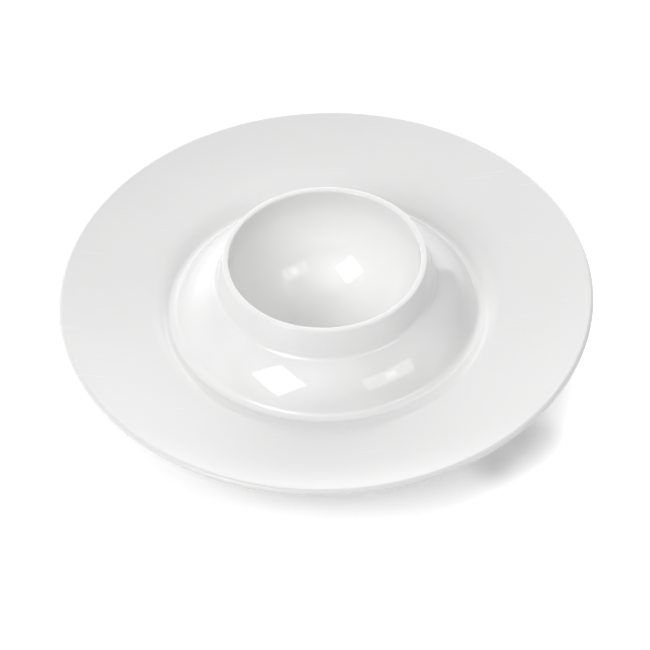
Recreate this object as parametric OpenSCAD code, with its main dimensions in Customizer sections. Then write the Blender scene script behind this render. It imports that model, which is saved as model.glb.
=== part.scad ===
// Egg cup with its own round tray, one glazed ceramic piece.
// The whole object is turned about the Z axis, and the foot ring stands on z = 0.
// A profile point is [radius, height]. A face's tilt is the angle of its outward normal:
// 0 looks up, 90 looks away from the axis, 180 looks down and 270 looks at the axis.

/* [Tray] */
// Outer diameter of the tray
tray_d = 130; // [115:1:150]
// Height of the tray's rim above the table
rim_h = 18; // [16.5:0.1:20]
// Thickness of the rounded rim
rim_t = 1.7; // [1.3:0.1:2.6]
// Fall of the tray towards the cup, in degrees, at the rim
rim_fall = 12.3; // [11:0.1:14]
// Fall of the tray towards the cup, in degrees, beside the groove
tray_fall = 2.8; // [1:0.1:4]
// Rise of the tray's underside towards the rim, in degrees, at the rim
under_rise = 20; // [19:0.5:24]
// Thickness of the tray under the groove
tray_t = 2.6; // [2:0.1:3]

/* [Groove and dome] */
// Distance from the outside of the lip out to the lowest line of the groove
dome_w = 12.95; // [12.5:0.05:13.6]
// Depth of the groove under the tray beside it
groove_depth = 1.2; // [1:0.05:1.5]
// Radius of the groove's hollow
groove_r = 1.9; // [1.6:0.1:2.2]
// Radius of the broad shoulder between the groove and the tray
groove_edge_r = 9; // [7:0.5:11]
// Steepness of the dome, in degrees, where it enters the groove
dome_fall = 57.5; // [54.5:0.5:60.5]
// Radius of the dome's round shoulder
dome_r = 24; // [22.5:0.1:25.5]
// Wall of the dome
dome_t = 2.6; // [2:0.1:3.4]

/* [Cup] */
// Width of the lip, from the bowl to the outside of the cup
lip_t = 1.65; // [1.5:0.05:2.1]
// Height of the lip above the table
cup_h = 30; // [28.5:0.1:33]
// Radius of the two edges of the lip
lip_edge_r = 0.45; // [0.3:0.05:0.8]
// Outward lean of the cup's wall, in degrees, from the lip down
cup_lean = 14; // [12:0.5:16]
// Radius of the sweep from the cup's wall into the dome
sweep_r = 2.6; // [1.5:0.1:4]

/* [Bowl] */
// Diameter of the round bowl that holds the egg
bowl_d = 46.4; // [44:0.1:47]
// Height of the lip above the centre of the round bowl
bowl_rise = 2.5; // [2:0.1:3]
// Wall under the bowl
bowl_t = 2.6; // [2:0.1:3]
// Radius of the hollow between the bowl and the dome, seen from below
crotch_r = 1.5; // [1:0.1:2.5]

/* [Foot ring] */
// Width of the foot ring at the table
foot_w = 2.8; // [2.2:0.1:4]
// Lean of the foot ring's two sides, in degrees
foot_lean = 4; // [2:0.5:6]
// Radius of the foot ring's two bottom edges
foot_edge_r = 0.6; // [0.4:0.05:0.9]
// Radius of the hollow between the foot ring and the tray
foot_fillet_r = 2.5; // [1.5:0.1:4]
// Height of the bare band at the bottom of the foot ring
bare_h = 1.2; // [1:0.1:2]

/* [Glaze] */
// Thickness of the glaze coat
glaze_t = 0.25; // [0.1:0.01:0.28]

/* [Hidden] */

// Largest gap between an arc and its chords, fewest steps of an arc, and the facets of a full turn
arc_gap = 0.005;
least_steps = 2;
turn_facets = 180;
// Points nearer than this are one point
weld_gap = 0.0001;

up = 0;
outward = 90;
down = 180;
inward = 270;

// Outward normal of a face with this tilt
function normal(tilt) = [sin(tilt), cos(tilt)];

// Points of a round stretch about c. A positive r bulges out and a negative r is hollow.
function arc(c, r, from, to) =
    let (arc_step = 2 * acos(1 - arc_gap / abs(r)))
    let (steps = max(least_steps, ceil(abs(to - from) / arc_step)))
    [for (i = [0 : steps]) c + r * normal(from + (to - from) * i / steps)];

// Distance along the unit vector dir from p to the circle of radius r about c: the near or the far crossing
function crossing(p, dir, c, r, far) =
    let (along = (c - p) * dir)
    let (half = sqrt(r * r - (c - p) * (c - p) + along * along))
    far ? along + half : along - half;

// Point where the circles of radius r about a and of radius q about b meet, left of the way from a to b
function meeting(a, r, b, q) =
    let (gap = norm(b - a))
    let (dir = (b - a) / gap)
    let (along = (r * r - q * q + gap * gap) / (2 * gap))
    a + along * dir + sqrt(r * r - along * along) * [-dir[1], dir[0]];

// Tilt of the ray from a to b
function tilt_of(a, b) = atan2(b[0] - a[0], b[1] - a[1]);

function reversed(points) = [for (i = [len(points) - 1 : -1 : 0]) points[i]];

function welded(points) =
    [for (i = [0 : len(points) - 1]) if (i == 0 || norm(points[i] - points[i - 1]) > weld_gap) points[i]];

// Rim: a full round
rim_c = [tray_d / 2 - rim_t / 2, rim_h - rim_t / 2];

// Bowl and cup
bowl_r = bowl_d / 2;
bowl_c = [0, cup_h - bowl_rise];
bowl_out_r = bowl_r + bowl_t;
cup_r = bowl_r + lip_t;
groove_line_r = cup_r + dome_w;

// Tray top: a shallow hollow arc that would reach the groove's line at tray_fall
tray_edge = rim_c + rim_t / 2 * normal(-rim_fall);
tray_r = (tray_edge[0] - groove_line_r) / (sin(rim_fall) - sin(tray_fall));
tray_c = tray_edge + tray_r * normal(-rim_fall);

// Groove, and the broad shoulder that joins it to the tray
groove_z = tray_c[1] - tray_r * cos(tray_fall) - groove_depth;
groove_c = [groove_line_r, groove_z + groove_r];
groove_edge_c = meeting(tray_c, tray_r + groove_edge_r, groove_c, groove_r + groove_edge_r);
groove_tilt = tilt_of(groove_edge_c, groove_c);
tray_tilt = tilt_of(groove_edge_c, tray_c);

// Dome
dome_c = groove_c - (groove_r + dome_r) * normal(dome_fall);

// Lip and the outside of the cup
lip_out_c = [cup_r - lip_edge_r, cup_h - lip_edge_r];
lip_in_c = [bowl_r + lip_edge_r, cup_h - lip_edge_r];
wall_tilt = outward - cup_lean;
wall_dir = normal(wall_tilt + 90);
sweep_start = lip_out_c + (lip_edge_r + sweep_r) * normal(wall_tilt);
sweep_c = sweep_start + crossing(sweep_start, wall_dir, dome_c, dome_r + sweep_r, false) * wall_dir;
sweep_tilt = tilt_of(dome_c, sweep_c);

// Hollow under the dome
hollow_r = dome_r - dome_t;
crotch_c = meeting(bowl_c, bowl_out_r + crotch_r, dome_c, hollow_r - crotch_r);
crotch_bowl_tilt = tilt_of(bowl_c, crotch_c);
crotch_dome_tilt = down + tilt_of(dome_c, crotch_c);

// Foot ring: its inner side runs on from the hollow of the dome
foot_in_tilt = inward - foot_lean;
foot_out_tilt = outward + foot_lean;
foot_in_top = dome_c - hollow_r * normal(foot_in_tilt);
foot_in = [foot_in_top[0] + foot_in_top[1] * tan(foot_lean), 0];
foot_out = [foot_in[0] + foot_w, 0];
foot_up = [sin(foot_lean), cos(foot_lean)];

// Underside of the tray: an arc from the rim down to tray_t under the groove
rim_under_tilt = down - under_rise;
under_edge = rim_c + rim_t / 2 * normal(rim_under_tilt);
under_chord = under_edge - [groove_line_r, groove_z - tray_t];
under_turn = 2 * (under_rise - atan2(under_chord[1], under_chord[0]));
under_r = norm(under_chord) / (2 * sin(under_turn / 2));
under_c = under_edge - under_r * normal(rim_under_tilt);
foot_fillet_start = foot_out + foot_fillet_r * normal(foot_out_tilt);
foot_fillet_c = foot_fillet_start
    + crossing(foot_fillet_start, foot_up, under_c, under_r + foot_fillet_r, false) * foot_up;
under_tilt = tilt_of(under_c, foot_fillet_c);

// Point of a side of the foot ring at height z, with the side moved in by k
function foot_side(start, tilt, z, k) =
    let (p = start - k * normal(tilt))
    [p[0] - (z - p[1]) * cos(tilt) / sin(tilt), z];

// Each stretch of the outline lies k under the glazed surface
function cup_line(k) = concat(
    arc(bowl_c, -bowl_r - k, up, -outward),
    arc(lip_in_c, lip_edge_r - k, -outward, up),
    arc(lip_out_c, lip_edge_r - k, up, wall_tilt),
    arc(sweep_c, -sweep_r - k, wall_tilt, sweep_tilt),
    arc(dome_c, dome_r - k, sweep_tilt, dome_fall),
    arc(groove_c, -groove_r - k, dome_fall, groove_tilt),
    arc(groove_edge_c, groove_edge_r - k, groove_tilt, tray_tilt)
);

function tray_line(k) = concat(
    arc(tray_c, -tray_r - k, tray_tilt, -rim_fall),
    arc(rim_c, rim_t / 2 - k, -rim_fall, rim_under_tilt),
    arc(under_c, under_r - k, rim_under_tilt, under_tilt),
    arc(foot_fillet_c, -foot_fillet_r - k, under_tilt, foot_out_tilt),
    [foot_side(foot_out, foot_out_tilt, bare_h, k)]
);

function base_line(k) = concat(
    [foot_side(foot_in, foot_in_tilt, bare_h, k)],
    arc(dome_c, -hollow_r - k, foot_in_tilt, crotch_dome_tilt),
    arc(crotch_c, -crotch_r - k, crotch_dome_tilt, crotch_bowl_tilt),
    arc(bowl_c, bowl_out_r - k, crotch_bowl_tilt, down)
);

// Bare bottom of the foot ring, with its two rounded edges
foot_tip_out = foot_side(foot_out, foot_out_tilt, foot_edge_r, glaze_t) - [foot_edge_r / cos(foot_lean), 0];
foot_tip_in = foot_side(foot_in, foot_in_tilt, foot_edge_r, glaze_t) + [foot_edge_r / cos(foot_lean), 0];
foot_tip = concat(
    arc(foot_tip_out, foot_edge_r, foot_out_tilt, down),
    arc(foot_tip_in, foot_edge_r, down, foot_in_tilt)
);

module turned(points) {
    rotate_extrude($fn = turn_facets) polygon(welded(points));
}

// A coat between the glazed surface and the body under it
module coat(surface, backing) {
    turned(concat(surface, reversed(backing)));
}

// Fired ceramic body, bare only at the bottom of the foot ring
module porcelain_body() {
    color("Linen") turned(concat(cup_line(glaze_t), tray_line(glaze_t), foot_tip, base_line(glaze_t)));
}

// Clear gloss glaze over the bowl, the lip, the cup, the dome and the groove
module cup_glaze() {
    color("White") coat(cup_line(0), cup_line(glaze_t));
}

// Satin glaze over the tray, round its rim and down to the foot ring
module tray_glaze() {
    color("WhiteSmoke") coat(tray_line(0), tray_line(glaze_t));
}

// Clear gloss glaze over the underside within the foot ring
module base_glaze() {
    color("Snow") coat(base_line(0), base_line(glaze_t));
}

porcelain_body();
cup_glaze();
tray_glaze();
base_glaze();
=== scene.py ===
import math

import bmesh
import bpy
from mathutils import Matrix, Vector


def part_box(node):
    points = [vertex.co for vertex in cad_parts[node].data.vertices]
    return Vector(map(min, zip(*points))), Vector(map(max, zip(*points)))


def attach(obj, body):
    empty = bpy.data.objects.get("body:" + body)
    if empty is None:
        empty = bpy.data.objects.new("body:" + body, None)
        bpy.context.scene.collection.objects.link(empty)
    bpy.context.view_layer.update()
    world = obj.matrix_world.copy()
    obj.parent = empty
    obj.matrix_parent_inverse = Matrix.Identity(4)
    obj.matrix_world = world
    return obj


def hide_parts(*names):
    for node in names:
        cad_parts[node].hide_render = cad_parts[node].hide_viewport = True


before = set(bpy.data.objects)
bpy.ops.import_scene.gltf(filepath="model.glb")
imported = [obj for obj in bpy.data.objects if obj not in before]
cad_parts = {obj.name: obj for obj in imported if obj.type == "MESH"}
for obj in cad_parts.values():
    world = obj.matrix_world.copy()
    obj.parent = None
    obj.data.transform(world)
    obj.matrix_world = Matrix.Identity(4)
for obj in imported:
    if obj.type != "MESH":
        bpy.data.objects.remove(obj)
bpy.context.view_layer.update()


# ---- Cup glaze: bowl, lip, cup wall, dome and groove -------------------------------------------
# A clear, hard gloss glaze over white porcelain. The clay was turned on a wheel head, so the skin
# is a figure of revolution; the glaze was poured, and lies thin and even with a few pinholes.

MM = 0.001
BODY = "root"
cup_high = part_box("cup_glaze")[1]
tray_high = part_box("tray_glaze")[1]

GLAZE = 0.25 * MM
FACETS = 288
WHEEL_R = 0.1
CORNER = math.radians(40)
WELD = 0.002 * MM
# Largest gap between an arc and its chords, and largest turn from chord to chord, in degrees
FINE_GAP, FINE_TURN = 0.0012 * MM, 3.0
COARSE_GAP, COARSE_TURN = 0.008 * MM, 15.0
UP, OUTWARD, DOWN, INWARD = 0.0, 90.0, 180.0, 270.0


def normal(tilt):
    return Vector((math.sin(math.radians(tilt)), math.cos(math.radians(tilt))))


def arc(centre, radius, start, end, gap=FINE_GAP, widest=FINE_TURN):
    """Points of a round stretch: a positive radius bulges out, a negative one is hollow."""
    step = min(widest, math.degrees(2 * math.acos(1 - gap / abs(radius))))
    count = max(2, math.ceil(abs(end - start) / step))
    return [centre + radius * normal(start + (end - start) * i / count) for i in range(count + 1)]


def backing_arc(centre, radius, start, end):
    """The same stretch on the hidden side of the glaze, with fewer points."""
    return arc(centre, radius, start, end, COARSE_GAP, COARSE_TURN)


def crossing(point, way, centre, radius):
    """Distance along way to the near side of a circle."""
    along = (centre - point).dot(way)
    return along - math.sqrt(radius ** 2 - (centre - point).length_squared + along ** 2)


def meeting(a, r, b, q):
    """Where two circles meet, left of the way from a to b."""
    gap = (b - a).length
    way = (b - a) / gap
    along = (r * r - q * q + gap * gap) / (2 * gap)
    return a + along * way + math.sqrt(r * r - along * along) * Vector((-way.y, way.x))


def tilt_of(a, b):
    return math.degrees(math.atan2(b.x - a.x, b.y - a.y))


# The outline's leading sizes, in the order in which it is turned
RIM_T, RIM_FALL, TRAY_FALL, UNDER_RISE, TRAY_T = 1.7 * MM, 12.3, 2.8, 20.0, 2.6 * MM
DOME_W, GROOVE_DEPTH, GROOVE_R, EDGE_R = 12.95 * MM, 1.2 * MM, 1.9 * MM, 9.0 * MM
DOME_FALL, DOME_R, DOME_T = 57.5, 24.0 * MM, 2.6 * MM
LIP_T, LIP_EDGE_R, CUP_LEAN, SWEEP_R = 1.65 * MM, 0.45 * MM, 14.0, 2.6 * MM
BOWL_R, BOWL_RISE, BOWL_T, CROTCH_R = 23.2 * MM, 2.5 * MM, 2.6 * MM, 1.5 * MM
FOOT_W, FOOT_LEAN, FOOT_FILLET_R, BARE_H = 2.8 * MM, 4.0, 2.5 * MM, 1.2 * MM

rim_r, rim_top, cup_top = tray_high.x, tray_high.z, cup_high.z
rim_c = Vector((rim_r - RIM_T / 2, rim_top - RIM_T / 2))
bowl_c = Vector((0, cup_top - BOWL_RISE))
cup_r = BOWL_R + LIP_T
groove_line_r = cup_r + DOME_W

tray_edge = rim_c + RIM_T / 2 * normal(-RIM_FALL)
tray_r = (tray_edge.x - groove_line_r) / (normal(RIM_FALL).x - normal(TRAY_FALL).x)
tray_c = tray_edge + tray_r * normal(-RIM_FALL)
groove_z = tray_c.y - tray_r * normal(TRAY_FALL).y - GROOVE_DEPTH
groove_c = Vector((groove_line_r, groove_z + GROOVE_R))
edge_c = meeting(tray_c, tray_r + EDGE_R, groove_c, GROOVE_R + EDGE_R)
groove_tilt, tray_tilt = tilt_of(edge_c, groove_c), tilt_of(edge_c, tray_c)
dome_c = groove_c - (GROOVE_R + DOME_R) * normal(DOME_FALL)

lip_out_c = Vector((cup_r - LIP_EDGE_R, cup_top - LIP_EDGE_R))
lip_in_c = Vector((BOWL_R + LIP_EDGE_R, cup_top - LIP_EDGE_R))
wall_tilt = OUTWARD - CUP_LEAN
wall_way = normal(wall_tilt + 90)
sweep_start = lip_out_c + (LIP_EDGE_R + SWEEP_R) * normal(wall_tilt)
sweep_c = sweep_start + crossing(sweep_start, wall_way, dome_c, DOME_R + SWEEP_R) * wall_way
sweep_tilt = tilt_of(dome_c, sweep_c)


def cup_line(k):
    """Outline of the cup's glaze, k under the surface, from the bottom of the bowl to the tray."""
    bend = backing_arc if k else arc
    return (bend(bowl_c, -BOWL_R - k, UP, -OUTWARD)
            + bend(lip_in_c, LIP_EDGE_R - k, -OUTWARD, UP)
            + bend(lip_out_c, LIP_EDGE_R - k, UP, wall_tilt)
            + bend(sweep_c, -SWEEP_R - k, wall_tilt, sweep_tilt)
            + bend(dome_c, DOME_R - k, sweep_tilt, DOME_FALL)
            + bend(groove_c, -GROOVE_R - k, DOME_FALL, groove_tilt)
            + bend(edge_c, EDGE_R - k, groove_tilt, tray_tilt))


def lathe_tree():
    """Geometry Nodes tree that turns an outline lying in the XZ plane into a closed coat."""
    tree = bpy.data.node_groups.new("lathe", "GeometryNodeTree")
    ports = tree.interface
    ports.new_socket("Outline", in_out="INPUT", socket_type="NodeSocketGeometry")
    ports.new_socket("Facets", in_out="INPUT", socket_type="NodeSocketInt")
    ports.new_socket("Wheel radius", in_out="INPUT", socket_type="NodeSocketFloat")
    ports.new_socket("Corner angle", in_out="INPUT", socket_type="NodeSocketFloat")
    ports.new_socket("Glaze", in_out="INPUT", socket_type="NodeSocketMaterial")
    ports.new_socket("Coat", in_out="OUTPUT", socket_type="NodeSocketGeometry")

    def add(kind, settings=None, **wires):
        made = tree.nodes.new(kind)
        for key, value in (settings or {}).items():
            setattr(made, key, value)
        for key, value in wires.items():
            port = next(p for p in made.inputs if p.name.replace(" ", "_") == key and p.enabled)
            if isinstance(value, bpy.types.NodeSocket):
                tree.links.new(value, port)
            else:
                port.default_value = value
        return made

    given = tree.nodes.new("NodeGroupInput").outputs
    place = add("ShaderNodeSeparateXYZ", Vector=add("GeometryNodeInputPosition").outputs["Position"])
    height = add("ShaderNodeMath", {"operation": "MULTIPLY"})
    tree.links.new(place.outputs["Z"], height.inputs[0])
    height.inputs[1].default_value = -1
    reach = add("ShaderNodeMath", {"operation": "SUBTRACT"})
    tree.links.new(place.outputs["X"], reach.inputs[0])
    tree.links.new(given["Wheel radius"], reach.inputs[1])
    section = add("ShaderNodeCombineXYZ", X=reach.outputs[0], Y=height.outputs[0])
    laid = add("GeometryNodeSetPosition", Geometry=given["Outline"], Position=section.outputs[0])
    outline = add("GeometryNodeMeshToCurve", Mesh=laid.outputs[0])
    wheel = add("GeometryNodeCurvePrimitiveCircle",
                Resolution=given["Facets"], Radius=given["Wheel radius"])
    turned = add("GeometryNodeCurveToMesh", Curve=wheel.outputs[0], Profile_Curve=outline.outputs[0])
    closed = add("GeometryNodeMergeByDistance", Geometry=turned.outputs[0], Distance=WELD)
    soft = add("GeometryNodeSetShadeSmooth", {"domain": "FACE"},
               Geometry=closed.outputs[0], Shade_Smooth=True)
    bend_angle = add("GeometryNodeInputMeshEdgeAngle").outputs["Unsigned Angle"]
    fold = add("FunctionNodeCompare", {"data_type": "FLOAT", "operation": "GREATER_THAN"},
               A=bend_angle, B=given["Corner angle"])
    crisp = add("GeometryNodeSetShadeSmooth", {"domain": "EDGE"}, Geometry=soft.outputs[0],
                Selection=fold.outputs[0], Shade_Smooth=False)
    real = add("GeometryNodeRealizeInstances", Geometry=crisp.outputs[0])
    glazed = add("GeometryNodeSetMaterial", Geometry=real.outputs[0], Material=given["Glaze"])
    tree.links.new(glazed.outputs[0], tree.nodes.new("NodeGroupOutput").inputs["Coat"])
    return tree


LATHE = lathe_tree()


def turned(name, outline, closed, glaze):
    """Turns an outline of [radius, height] points about the Z axis into a finished coat."""
    points = [outline[0]]
    for point in outline[1:]:
        if (point - points[-1]).length > 2 * WELD:
            points.append(point)
    wire = bpy.data.meshes.new(name + "_outline")
    runs = [(i, i + 1) for i in range(len(points) - 1)]
    if closed:
        runs.append((len(points) - 1, 0))
    wire.from_pydata([(max(p.x, 0), 0, p.y) for p in points], runs, [])
    blank = bpy.data.objects.new(name + "_blank", wire)
    bpy.context.scene.collection.objects.link(blank)
    lathe = blank.modifiers.new("lathe", "NODES")
    lathe.node_group = LATHE
    sizes = {"Facets": FACETS, "Wheel radius": WHEEL_R, "Corner angle": CORNER, "Glaze": glaze}
    for port in LATHE.interface.items_tree:
        if port.name in sizes:
            lathe[port.identifier] = sizes[port.name]
    bpy.context.view_layer.update()
    ready = blank.evaluated_get(bpy.context.evaluated_depsgraph_get())
    shape = bpy.data.meshes.new_from_object(ready)
    blank.modifiers.remove(lathe)
    bpy.data.objects.remove(blank)
    bpy.data.meshes.remove(wire)
    shape.name = name
    sides = bmesh.new()
    sides.from_mesh(shape)
    bmesh.ops.remove_doubles(sides, verts=sides.verts, dist=WELD)
    bmesh.ops.recalc_face_normals(sides, faces=sides.faces)
    sides.to_mesh(shape)
    sides.free()
    piece = bpy.data.objects.new(name, shape)
    bpy.context.scene.collection.objects.link(piece)
    return piece


class Wire:
    """A value on a wire of a material; sums and products of wires add its Math nodes."""

    def __init__(self, tree, port):
        self.tree, self.port = tree, port

    def math(self, operation, *terms):
        made = self.tree.nodes.new("ShaderNodeMath")
        made.operation = operation
        for port, term in zip(made.inputs, terms):
            if isinstance(term, Wire):
                self.tree.links.new(term.port, port)
            else:
                port.default_value = term
        return Wire(self.tree, made.outputs[0])

    def __add__(self, other): return self.math("ADD", self, other)
    def __radd__(self, other): return self.math("ADD", other, self)
    def __sub__(self, other): return self.math("SUBTRACT", self, other)
    def __rsub__(self, other): return self.math("SUBTRACT", other, self)
    def __mul__(self, other): return self.math("MULTIPLY", self, other)
    def __rmul__(self, other): return self.math("MULTIPLY", other, self)
    def __pow__(self, other): return self.math("POWER", self, other)
    def __lt__(self, other): return self.math("LESS_THAN", self, other)

    def step(self, low, high):
        """0 below low and 1 above high, with a soft change between them."""
        made = self.tree.nodes.new("ShaderNodeMapRange")
        made.interpolation_type = "SMOOTHSTEP"
        self.tree.links.new(self.port, made.inputs["Value"])
        made.inputs["From Min"].default_value, made.inputs["From Max"].default_value = low, high
        return Wire(self.tree, made.outputs["Result"])


class Finish:
    """A material under way: node() adds any node, with its settings first and then its sockets."""

    def __init__(self, name):
        self.material = bpy.data.materials.new(name)
        self.material.use_nodes = True
        self.tree = self.material.node_tree
        self.skin = self.tree.nodes["Principled BSDF"]
        self.place = self.node("ShaderNodeTexCoord", out="Object")

    def node(self, kind, settings=None, out=0, **sockets):
        made = self.tree.nodes.new(kind)
        for key, value in (settings or {}).items():
            setattr(made, key, value)
        for key, value in sockets.items():
            port = next(p for p in made.inputs if p.name.replace(" ", "_") == key and p.enabled)
            if isinstance(value, Wire):
                self.tree.links.new(value.port, port)
            else:
                port.default_value = value
        return Wire(self.tree, made.outputs[out])

    def cloud(self, scale, detail=2.0, roughness=0.5):
        """Soft noise from 0 to 1, with about this many clouds to the metre."""
        return self.node("ShaderNodeTexNoise", out="Fac", Vector=self.place,
                         Scale=scale, Detail=detail, Roughness=roughness)

    def flecks(self, scale, size, share):
        """1 on small round flecks, in this share of cells, and 0 between them."""
        near, tint = (
            self.node("ShaderNodeTexVoronoi", {"feature": "F1", "distance": "EUCLIDEAN"}, out=result,
                      Vector=self.place, Scale=scale)
            for result in ("Distance", "Color"))
        chance = self.node("ShaderNodeSeparateXYZ", out="X", Vector=tint)
        return (1 - near.step(size * 0.6, size)) * (chance < share)

    def strokes(self, turn, low, high):
        """1 on a few hair-thin straight marks that lie at this angle, and 0 between them."""
        laid = self.node("ShaderNodeMapping", Vector=self.place,
                         Rotation=(0, 0, math.radians(turn)), Scale=(70, 4200, 70))
        marks = self.node("ShaderNodeTexNoise", out="Fac", Vector=laid, Scale=1.0, Detail=0.0)
        return marks.step(low, high)

    def reach(self, x=0.0, y=0.0):
        """Distance from an upright line through x, y."""
        across, along = (self.node("ShaderNodeSeparateXYZ", out=axis, Vector=self.place)
                         for axis in "XY")
        return ((across - x) * (across - x) + (along - y) * (along - y)) ** 0.5

    def rings(self, waves):
        """Noise that changes only with the distance from the axis, as turning leaves it."""
        return self.node("ShaderNodeTexNoise", {"noise_dimensions": "1D"}, out="Fac",
                         W=self.reach(), Scale=waves, Detail=1.0)

    def blend(self, factor, low, high):
        return self.node("ShaderNodeMix", {"data_type": "RGBA"}, out=2, Factor=factor, A=low, B=high)

    def feed(self, name, value):
        port = self.skin.inputs[name]
        if isinstance(value, Wire):
            self.tree.links.new(value.port, port)
        else:
            port.default_value = value

    def bump(self, height, depth, strength=1.0):
        """Lets the light fall as on a skin that rises by height times depth."""
        self.feed("Normal", self.node("ShaderNodeBump", out="Normal",
                                      Strength=strength, Distance=depth, Height=height))


GLOSS_WHITE = (0.80, 0.80, 0.795, 1)
GLOSS_SHADE = (0.785, 0.787, 0.785, 1)
# The same glaze is set paler inside the bowl, as painted light, and darker on the shoulder by the groove, as
# painted shade
BOWL_PAINTED_LIGHT = (0.825, 0.825, 0.82, 1)
SHOULDER_PAINTED_SHADE = (0.725, 0.726, 0.722, 1)
FLECK = (0.42, 0.40, 0.38, 1)
GLAZE_IOR = 1.5
# Clouds in a white run into each other between these two values of the noise
CLOUD_EDGE = (0.35, 0.65)
# Distances from the axis between which the bowl's painted light, the shoulder's painted shade
# and the turning marks of the sweep begin and end
BOWL_PAINTED_LIGHT_END = (22.6 * MM, 23.4 * MM)
SHOULDER_PAINTED_SHADE_START = (38.5 * MM, 42.6 * MM)
SWEEP_START, SWEEP_END = (25.2 * MM, 26.2 * MM), (27.6 * MM, 29.4 * MM)

gloss = Finish("cup_gloss_glaze")
reach = gloss.reach()
white = gloss.blend(gloss.cloud(45, 3).step(*CLOUD_EDGE), GLOSS_SHADE, GLOSS_WHITE)
# Painted light: the inside of the bowl is made a little paler than the glaze's own white
white = gloss.blend(1 - reach.step(*BOWL_PAINTED_LIGHT_END), white, BOWL_PAINTED_LIGHT)
# Painted shade: the shoulder by the groove is made darker than the glaze's own white
white = gloss.blend(reach.step(*SHOULDER_PAINTED_SHADE_START), white, SHOULDER_PAINTED_SHADE)
gloss.feed("Base Color", gloss.blend(gloss.flecks(180, 0.035, 0.05), white, FLECK))
gloss.feed("Roughness", 0.035 + 0.03 * gloss.cloud(120))
gloss.feed("IOR", GLAZE_IOR)
at_sweep = reach.step(*SWEEP_START) * (1 - reach.step(*SWEEP_END))
wave = gloss.cloud(60, 1) + 0.03 * gloss.cloud(900, 2) + 0.35 * gloss.rings(2600) * at_sweep
gloss.bump(wave, 0.012 * MM)

cup_outline = cup_line(0) + list(reversed(cup_line(GLAZE)))
cup = turned("cup_glaze_skin", cup_outline, False, gloss.material)
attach(cup, BODY)
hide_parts("cup_glaze")


# ---- Tray glaze: the broad tray, its rolled rim and the outside of the foot --------------------
# A satin glaze, sprayed on the broad tray up to the shoulder of the groove. Spraying leaves a
# fine orange-peel skin, and plates stacked on it leave a few hair-thin marks. The marks are real
# wear; their pale colour is a painted sheen.

bowl_out_r, hollow_r = BOWL_R + BOWL_T, DOME_R - DOME_T
foot_in_tilt, foot_out_tilt = INWARD - FOOT_LEAN, OUTWARD + FOOT_LEAN
foot_in_top = dome_c - hollow_r * normal(foot_in_tilt)
foot_in = Vector((foot_in_top.x + foot_in_top.y * math.tan(math.radians(FOOT_LEAN)), 0))
foot_out = foot_in + Vector((FOOT_W, 0))

rim_under_tilt = DOWN - UNDER_RISE
under_edge = rim_c + RIM_T / 2 * normal(rim_under_tilt)
under_chord = under_edge - Vector((groove_line_r, groove_z - TRAY_T))
under_turn = 2 * (UNDER_RISE - math.degrees(math.atan2(under_chord.y, under_chord.x)))
under_r = under_chord.length / (2 * normal(under_turn / 2).x)
under_c = under_edge - under_r * normal(rim_under_tilt)
foot_way = normal(FOOT_LEAN)
fillet_start = foot_out + FOOT_FILLET_R * normal(foot_out_tilt)
fillet_c = fillet_start + crossing(fillet_start, foot_way, under_c, under_r + FOOT_FILLET_R) * foot_way
under_tilt = tilt_of(under_c, fillet_c)


def foot_side(start, tilt, height, k):
    """Point of a side of the foot ring at this height, k under its surface."""
    point = start - k * normal(tilt)
    return Vector((point.x - (height - point.y) * normal(tilt).y / normal(tilt).x, height))


def tray_line(k):
    """Outline of the tray's glaze, from the groove's shoulder round the rim to the foot."""
    bend = backing_arc if k else arc
    return (bend(tray_c, -tray_r - k, tray_tilt, -RIM_FALL)
            + bend(rim_c, RIM_T / 2 - k, -RIM_FALL, rim_under_tilt)
            + bend(under_c, under_r - k, rim_under_tilt, under_tilt)
            + bend(fillet_c, -FOOT_FILLET_R - k, under_tilt, foot_out_tilt)
            + [foot_side(foot_out, foot_out_tilt, BARE_H, k)])


# Both whites of the tray are set darker than the cup's gloss white of the same porcelain: the difference is
# painted shade
SATIN_WHITE = (0.728, 0.729, 0.725, 1)
SATIN_SHADE = (0.716, 0.718, 0.714, 1)

# The scuff marks are real wear, painted paler than the tray as a painted sheen
SCUFF_SHEEN_WHITE = (0.86, 0.86, 0.86, 1)
# The cup's clear glaze runs a little way out over the tray, and ends between these distances
CLEAR_END = (42.8 * MM, 43.6 * MM)

satin = Finish("tray_satin_glaze")
white = satin.blend(satin.cloud(30, 3).step(*CLOUD_EDGE), SATIN_SHADE, SATIN_WHITE)
# Hair-thin wear marks, with a painted sheen in their pale colour
scuff_sheen_marks = 0.5 * satin.strokes(37, 0.81, 0.85) + 0.5 * satin.strokes(-64, 0.82, 0.86)
worn_with_painted_sheen = satin.blend(scuff_sheen_marks, white, SCUFF_SHEEN_WHITE)
satin.feed("Base Color", satin.blend(satin.flecks(120, 0.03, 0.06), worn_with_painted_sheen, FLECK))
matted = satin.reach().step(*CLEAR_END)
satin.feed("Roughness", 0.045 + matted * (0.09 + 0.05 * satin.cloud(700)))
satin.feed("IOR", GLAZE_IOR)
peel = (satin.cloud(2200, 2) + 0.8 * satin.cloud(900, 1)) * matted
satin.bump(peel, 0.009 * MM)

tray_outline = tray_line(0) + list(reversed(tray_line(GLAZE)))
tray = turned("tray_glaze_skin", tray_outline, True, satin.material)
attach(tray, BODY)
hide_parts("tray_glaze")


# ---- Base glaze: the hollow under the cup, within the foot ring --------------------------------
# The same clear gloss glaze, poured into the hollow and drained, so it shows a slight curtain
# of drips towards the foot ring.

crotch_c = meeting(bowl_c, bowl_out_r + CROTCH_R, dome_c, hollow_r - CROTCH_R)
crotch_bowl_tilt = tilt_of(bowl_c, crotch_c)
crotch_dome_tilt = DOWN + tilt_of(dome_c, crotch_c)


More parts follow.
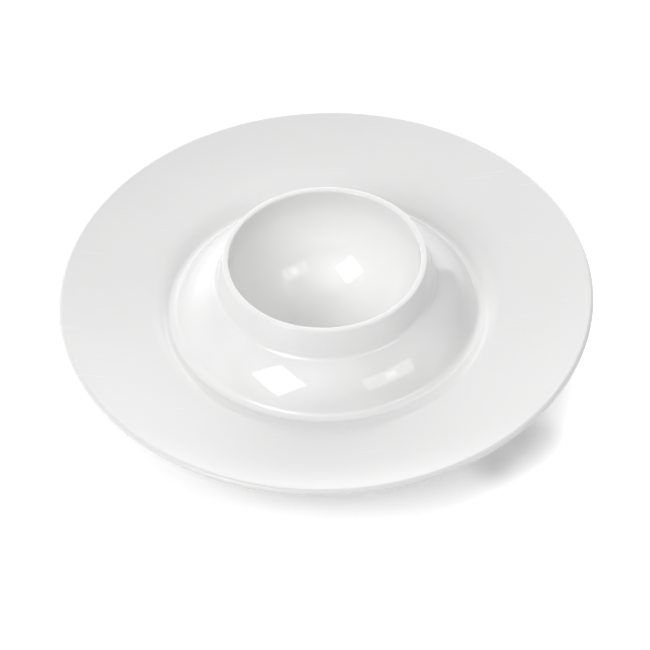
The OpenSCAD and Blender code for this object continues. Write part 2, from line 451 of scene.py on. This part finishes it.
def base_line(k):
    """Outline of the glaze under the cup, from the foot ring up and round to the axis."""
    bend = backing_arc if k else arc
    return ([foot_side(foot_in, foot_in_tilt, BARE_H, k)]
            + bend(dome_c, -hollow_r - k, foot_in_tilt, crotch_dome_tilt)
            + bend(crotch_c, -CROTCH_R - k, crotch_dome_tilt, crotch_bowl_tilt)
            + bend(bowl_c, bowl_out_r - k, crotch_bowl_tilt, DOWN))


drained = Finish("base_gloss_glaze")
stretch = drained.node("ShaderNodeMapping", Vector=drained.place, Scale=(1, 1, 0.25))
curtain = drained.node("ShaderNodeTexNoise", out="Fac", Vector=stretch, Scale=110, Detail=2)
white = drained.blend(curtain.step(*CLOUD_EDGE), GLOSS_SHADE, GLOSS_WHITE)
drained.feed("Base Color", drained.blend(drained.flecks(150, 0.05, 0.10), white, FLECK))
drained.feed("Roughness", 0.05 + 0.05 * drained.cloud(90))
drained.feed("IOR", GLAZE_IOR)
drained.bump(curtain, 0.05 * MM)

base_outline = base_line(0) + list(reversed(base_line(GLAZE)))
base = turned("base_glaze_skin", base_outline, False, drained.material)
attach(base, BODY)
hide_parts("base_glaze")


# ---- Porcelain body: bare only at the bottom of the foot ring ----------------------------------
# Fired porcelain under the glaze. It shows only where the foot was wiped clean before firing:
# dry, matte, slightly warm, with a fine grain and grey rubbing where it stands on the table.

BISCUIT = (0.74, 0.715, 0.67, 1)
BISCUIT_DARK = (0.66, 0.63, 0.58, 1)
RUBBED = (0.42, 0.40, 0.38, 1)
# The grey rubbing fades out between these heights above the table
RUB_END = (0.05 * MM, 0.35 * MM)

biscuit = Finish("bare_porcelain")
grain = biscuit.cloud(1600, 4, 0.7)
dry = biscuit.blend(grain.step(0.3, 0.7), BISCUIT_DARK, BISCUIT)
low = biscuit.node("ShaderNodeSeparateXYZ", out="Z", Vector=biscuit.place)
rub = (1 - low.step(*RUB_END)) * biscuit.cloud(260, 3).step(0.50, 0.62) * 0.45
biscuit.feed("Base Color", biscuit.blend(rub, dry, RUBBED))
biscuit.feed("Roughness", 0.72 + 0.2 * grain)
biscuit.bump(grain, 0.03 * MM, 0.8)

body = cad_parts["porcelain_body"]
if not body.data.materials:
    body.data.materials.append(biscuit.material)
for place in body.material_slots:
    place.material = biscuit.material


# ---- Table and backdrop ------------------------------------------------------------------------
# One broad sheet of white paper, level with the bottom of the foot ring. It shows as plain
# white, and it keeps the shadow of the tray. Its glow is stronger far from the tray, a painted
# light that whitens the tray's cast shadow there, and weaker in two places at the front right,
# a painted shadow.

PAPER_HALF = 12.0
PAPER_WHITE = (0.86, 0.86, 0.86, 1)
# Only the even glow is the paper's plain white; the other two parts are painted light and painted shadow
# Strength of the paper's own white: everywhere, painted light added far from the tray, and
# painted shadow taken away at the front right
WHITE_ALL, PAINTED_LIGHT_FAR, PAINTED_SHADOW_DEEP = 0.235, 0.35, 0.2

paper = Finish("white_paper")
paper.feed("Base Color", PAPER_WHITE)
paper.feed("Roughness", 0.95)
paper.feed("Specular IOR Level", 0.1)
sheet = bpy.data.meshes.new("table")
sheet.from_pydata([(-PAPER_HALF, -PAPER_HALF, 0), (PAPER_HALF, -PAPER_HALF, 0),
                   (PAPER_HALF, PAPER_HALF, 0), (-PAPER_HALF, PAPER_HALF, 0)], [], [(0, 1, 2, 3)])
table = bpy.data.objects.new("table", sheet)
bpy.context.scene.collection.objects.link(table)
sheet.materials.append(paper.material)
seen = paper.node("ShaderNodeLightPath", out="Is Camera Ray")
glossy = paper.node("ShaderNodeLightPath", out="Is Glossy Ray")
through = paper.node("ShaderNodeLightPath", out="Is Transmission Ray")
# Painted light: more glow far from the tray, which whitens the tray's cast shadow there
painted_light_far = paper.reach(-3 * MM, -9 * MM).step(53 * MM, 68 * MM)
# Painted shadow: two round places at the front right where the glow is taken away
painted_shadow_outer = paper.reach(49 * MM, -36 * MM).step(3 * MM, 13 * MM)
painted_shadow_inner = paper.reach(40 * MM, -42 * MM).step(1 * MM, 10 * MM)
painted_shadow = 1 - painted_shadow_outer * painted_shadow_inner
glow_with_painted_light_and_shadow = WHITE_ALL + PAINTED_LIGHT_FAR * painted_light_far - PAINTED_SHADOW_DEEP * painted_shadow
glow = paper.node("ShaderNodeEmission", Color=(1, 1, 1, 1),
                  Strength=glow_with_painted_light_and_shadow * (seen + glossy + through))
both = paper.tree.nodes.new("ShaderNodeAddShader")
paper.tree.links.new(paper.skin.outputs[0], both.inputs[0])
paper.tree.links.new(glow.port, both.inputs[1])
paper.tree.links.new(both.outputs[0], paper.tree.nodes["Material Output"].inputs["Surface"])


# ---- Light: a soft room with three lamps -------------------------------------------------------
# A lit backdrop behind the tray and pale reflectors round it make the soft room. A square
# softbox stands at the front left, and a weaker, longer one with its bulb at the front right.

scene = bpy.context.scene
world = bpy.data.worlds.new("soft_room")
scene.world = world
world.use_nodes = True
room = world.node_tree
ray = room.nodes.new("ShaderNodeTexCoord")
split = room.nodes.new("ShaderNodeSeparateXYZ")
room.links.new(ray.outputs["Generated"], split.inputs[0])
right, rear, high = (Wire(room, split.outputs[i]) for i in range(3))


def patch(azimuth, elevation, inner, outer):
    """1 within the inner angle of a direction in the room, falling to 0 at the outer angle."""
    a, e = math.radians(azimuth), math.radians(elevation)
    nearness = (right * (math.sin(a) * math.cos(e)) + rear * (-math.cos(a) * math.cos(e))
                + high * math.sin(e))
    return nearness.step(math.cos(math.radians(outer)), math.cos(math.radians(inner)))


# The lit backdrop ends in a straight side at the right, and fades out at the left and at its top.
# The sides are in degrees from straight behind, and the top is in degrees above the table.
BACKDROP_GLOW = 1.87
BACKDROP_LEFT, BACKDROP_RIGHT, BACKDROP_TOP = (-62, -30), (37, 39), (21, 30)
side = right.math("ARCTAN2", right, rear)
behind = ((1 - side.step(*map(math.radians, BACKDROP_RIGHT)))
          * side.step(*map(math.radians, BACKDROP_LEFT)))
backdrop = behind * (1 - high.step(*(math.sin(math.radians(edge)) for edge in BACKDROP_TOP)))

# Pale walls and reflectors round the table: azimuth, elevation, full and outer angle, strength
REFLECTORS = ((180, 8, 4, 26, 2.3), (90, 8, 4, 26, 0.86), (210, 8, 4, 26, 0.32), (240, 8, 4, 26, 0.84),
              (270, 8, 4, 26, 0.68), (40, 32, 4, 28, 0.03), (80, 32, 4, 28, 0.98), (160, 32, 4, 28, 0.82),
              (200, 32, 4, 28, 0.31), (280, 32, 4, 28, 0.64), (320, 32, 4, 28, 0.41), (0, 56, 4, 30, 1.24),
              (60, 56, 4, 30, 0.11), (180, 56, 4, 30, 0.65), (240, 56, 4, 30, 0.66), (320, 48, 14, 32, 0.94),
              (166, 33, 2, 12, 0.8), (183, 36, 2, 9, 0.7), (200, 33, 2, 12, 0.8))
glow = BACKDROP_GLOW * backdrop
for azimuth, elevation, inner, outer, strength in REFLECTORS:
    glow = glow + strength * patch(azimuth, elevation, inner, outer)
room.links.new(glow.port, room.nodes["Background"].inputs["Strength"])
room.nodes["Background"].inputs["Color"].default_value = (1, 1, 1, 1)


LAMP_DISTANCE = 1.0


def softbox(name, azimuth, elevation, width, height, power, roll):
    """A rectangular lamp that faces the cup; azimuth 0 is the front and 90 is the right."""
    lamp = bpy.data.lights.new(name, "AREA")
    lamp.shape = "RECTANGLE"
    lamp.size, lamp.size_y, lamp.energy = width, height, power
    holder = bpy.data.objects.new(name, lamp)
    scene.collection.objects.link(holder)
    a, e = math.radians(azimuth), math.radians(elevation)
    away = Vector((math.sin(a) * math.cos(e), -math.cos(a) * math.cos(e), math.sin(e)))
    facing = away.to_track_quat("Z", "Y").to_matrix().to_4x4()
    rolled = Matrix.Rotation(math.radians(roll), 4, "Z")
    holder.matrix_world = Matrix.Translation(away * LAMP_DISTANCE) @ facing @ rolled


softbox("front_left_softbox", azimuth=-43, elevation=44, width=0.43, height=0.43, power=3.4, roll=65)
softbox("front_right_softbox", azimuth=51, elevation=40, width=0.58, height=0.24, power=1.05, roll=-13)
softbox("front_right_bulb", azimuth=52, elevation=40, width=0.12, height=0.12, power=0.12, roll=-13)


# ---- Camera: a long lens, looking down at the front --------------------------------------------
# It stands a metre off, and aims a little beside the middle of the tray's rim.

SENSOR, LENS, CLIP_START = 36, 227.66, 0.01
PITCH, ROLL, DISTANCE = math.radians(45.82), math.radians(-1.83), 1.0
SHIFT_X, SHIFT_Y = -0.22 * MM, -7.2 * MM
away = Vector((0, -math.cos(PITCH), math.sin(PITCH)))
level = Vector((1, 0, 0))
upright = away.cross(level)
across = math.cos(ROLL) * level + math.sin(ROLL) * upright
above = -math.sin(ROLL) * level + math.cos(ROLL) * upright
camera = bpy.data.cameras.new("camera")
camera.sensor_width, camera.lens, camera.clip_start = SENSOR, LENS, CLIP_START
viewer = bpy.data.objects.new("camera", camera)
scene.collection.objects.link(viewer)
turn = Matrix((across, above, away)).transposed().to_4x4()
aim = Vector((0, 0, rim_c.y)) + SHIFT_X * across + SHIFT_Y * above
turn.translation = aim + DISTANCE * away
viewer.matrix_world = turn
scene.camera = viewer
scene.view_settings.view_transform = "Standard"
